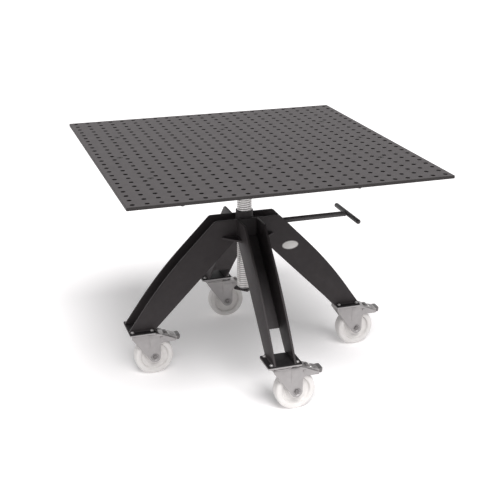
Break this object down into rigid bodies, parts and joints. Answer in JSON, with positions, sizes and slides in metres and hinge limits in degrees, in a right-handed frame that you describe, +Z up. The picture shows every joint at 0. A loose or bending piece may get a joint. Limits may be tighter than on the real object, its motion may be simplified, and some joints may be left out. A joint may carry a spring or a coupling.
{
  "type": "assembly table",
  "caption": "Square perforated steel work table on a height screw and a cross-shaped stand with braked swivel casters; the top turns, rises and is locked by a T-handle clamp.",
  "frame": {"origin": "on the floor under the column axis", "axes": "+Z up, +X towards the clamp handle and along the front edge, +Y to the back"},
  "size_m": [1.2176, 1.2, 0.928],
  "materials": {
    "table_steel": "oiled dark steel plate",
    "black_paint": "satin black powder coat",
    "screw_steel": "bright machined steel",
    "zinc_steel": "zinc plated pressed steel",
    "wheel_nylon": "off-white cast polyamide",
    "badge_plate": "blank satin oval",
    "pad_brass": "machined brass"
  },
  "bodies": {
    "stand": {"arch_plate_front": "black_paint", "arch_plate_rear": "black_paint", "leg_plate_front_a": "black_paint", "leg_plate_front_b": "black_paint", "leg_plate_rear_a": "black_paint", "leg_plate_rear_b": "black_paint", "leg_web_right": "black_paint", "leg_web_rear": "black_paint", "leg_web_left": "black_paint", "leg_web_front": "black_paint", "foot_plate_right": "black_paint", "foot_plate_rear": "black_paint", "foot_plate_left": "black_paint", "foot_plate_front": "black_paint", "hub_gusset_rear_right": "black_paint", "hub_gusset_rear_left": "black_paint", "hub_gusset_front_left": "black_paint", "hub_gusset_front_right": "black_paint", "spindle_nut": "black_paint", "clamp_boss": "black_paint", "badge": "badge_plate", "caster_plate_right": "zinc_steel", "caster_plate_rear": "zinc_steel", "caster_plate_left": "zinc_steel", "caster_plate_front": "zinc_steel"},
    "lift_stop": {"end_stop": "black_paint"},
    "table_top": {"spindle": "screw_steel", "stop_screw": "screw_steel", "spindle_head": "black_paint", "support_bar_front": "black_paint", "support_bar_middle": "black_paint", "support_bar_rear": "black_paint", "rib_rear_right": "black_paint", "rib_rear_left": "black_paint", "rib_front_left": "black_paint", "rib_front_right": "black_paint", "top_plate": "table_steel"},
    "clamp_slide": {"clamp_pad": "pad_brass"},
    "clamp_screw": {"clamp_rod": "black_paint", "clamp_bar": "black_paint"},
    "caster_right": {"fork_right": "zinc_steel", "axle_right": "zinc_steel"},
    "wheel_right": {"wheel_right": "wheel_nylon"},
    "pedal_right": {"brake_pedal_right": "zinc_steel"},
    "caster_rear": {"fork_rear": "zinc_steel", "axle_rear": "zinc_steel"},
    "wheel_rear": {"wheel_rear": "wheel_nylon"},
    "pedal_rear": {"brake_pedal_rear": "zinc_steel"},
    "caster_left": {"fork_left": "zinc_steel", "axle_left": "zinc_steel"},
    "wheel_left": {"wheel_left": "wheel_nylon"},
    "pedal_left": {"brake_pedal_left": "zinc_steel"},
    "caster_front": {"fork_front": "zinc_steel", "axle_front": "zinc_steel"},
    "wheel_front": {"wheel_front": "wheel_nylon"},
    "pedal_front": {"brake_pedal_front": "zinc_steel"}
  },
  "joints": [
    {"name": "table_lift", "type": "slide", "parent": "stand", "child": "lift_stop", "axis": [0, 0, 1], "range_m": [-0.099, 0.216]},
    {"name": "table_turn", "type": "hinge", "parent": "lift_stop", "child": "table_top", "pos_m": [0, 0, 0.6], "axis": [0, 0, 1], "range_deg": [-3960, 8640]},
    {"name": "clamp_feed", "type": "slide", "parent": "stand", "child": "clamp_slide", "axis": [1, 0, 0], "range_m": [0, 0.004]},
    {"name": "clamp_turn", "type": "hinge", "parent": "clamp_slide", "child": "clamp_screw", "pos_m": [0.2, 0, 0.604], "axis": [1, 0, 0], "range_deg": [0, 720]},
    {"name": "swivel_right", "type": "hinge", "parent": "stand", "child": "caster_right", "pos_m": [0.45, 0, 0.18], "axis": [0, 0, 1], "continuous": true},
    {"name": "roll_right", "type": "hinge", "parent": "caster_right", "child": "wheel_right", "pos_m": [0.505, 0, 0.08], "axis": [0, 1, 0], "continuous": true},
    {"name": "brake_right", "type": "hinge", "parent": "caster_right", "child": "pedal_right", "pos_m": [0.534, 0, 0.165], "axis": [0, 1, 0], "range_deg": [0, 10]},
    {"name": "swivel_rear", "type": "hinge", "parent": "stand", "child": "caster_rear", "pos_m": [0, 0.45, 0.18], "axis": [0, 0, 1], "continuous": true},
    {"name": "roll_rear", "type": "hinge", "parent": "caster_rear", "child": "wheel_rear", "pos_m": [0.055, 0.45, 0.08], "axis": [0, 1, 0], "continuous": true},
    {"name": "brake_rear", "type": "hinge", "parent": "caster_rear", "child": "pedal_rear", "pos_m": [0.084, 0.45, 0.165], "axis": [0, 1, 0], "range_deg": [0, 10]},
    {"name": "swivel_left", "type": "hinge", "parent": "stand", "child": "caster_left", "pos_m": [-0.45, 0, 0.18], "axis": [0, 0, 1], "continuous": true},
    {"name": "roll_left", "type": "hinge", "parent": "caster_left", "child": "wheel_left", "pos_m": [-0.395, 0, 0.08], "axis": [0, 1, 0], "continuous": true},
    {"name": "brake_left", "type": "hinge", "parent": "caster_left", "child": "pedal_left", "pos_m": [-0.366, 0, 0.165], "axis": [0, 1, 0], "range_deg": [0, 10]},
    {"name": "swivel_front", "type": "hinge", "parent": "stand", "child": "caster_front", "pos_m": [0, -0.45, 0.18], "axis": [0, 0, 1], "continuous": true},
    {"name": "roll_front", "type": "hinge", "parent": "caster_front", "child": "wheel_front", "pos_m": [0.055, -0.45, 0.08], "axis": [0, 1, 0], "continuous": true},
    {"name": "brake_front", "type": "hinge", "parent": "caster_front", "child": "pedal_front", "pos_m": [0.084, -0.45, 0.165], "axis": [0, 1, 0], "range_deg": [0, 10]}
  ],
  "couplings": [
    {"joint": "table_lift", "follows": "table_turn", "m_per_rad": 0.0014324},
    {"joint": "clamp_feed", "follows": "clamp_turn", "m_per_rad": 0.00031831}
  ]
}
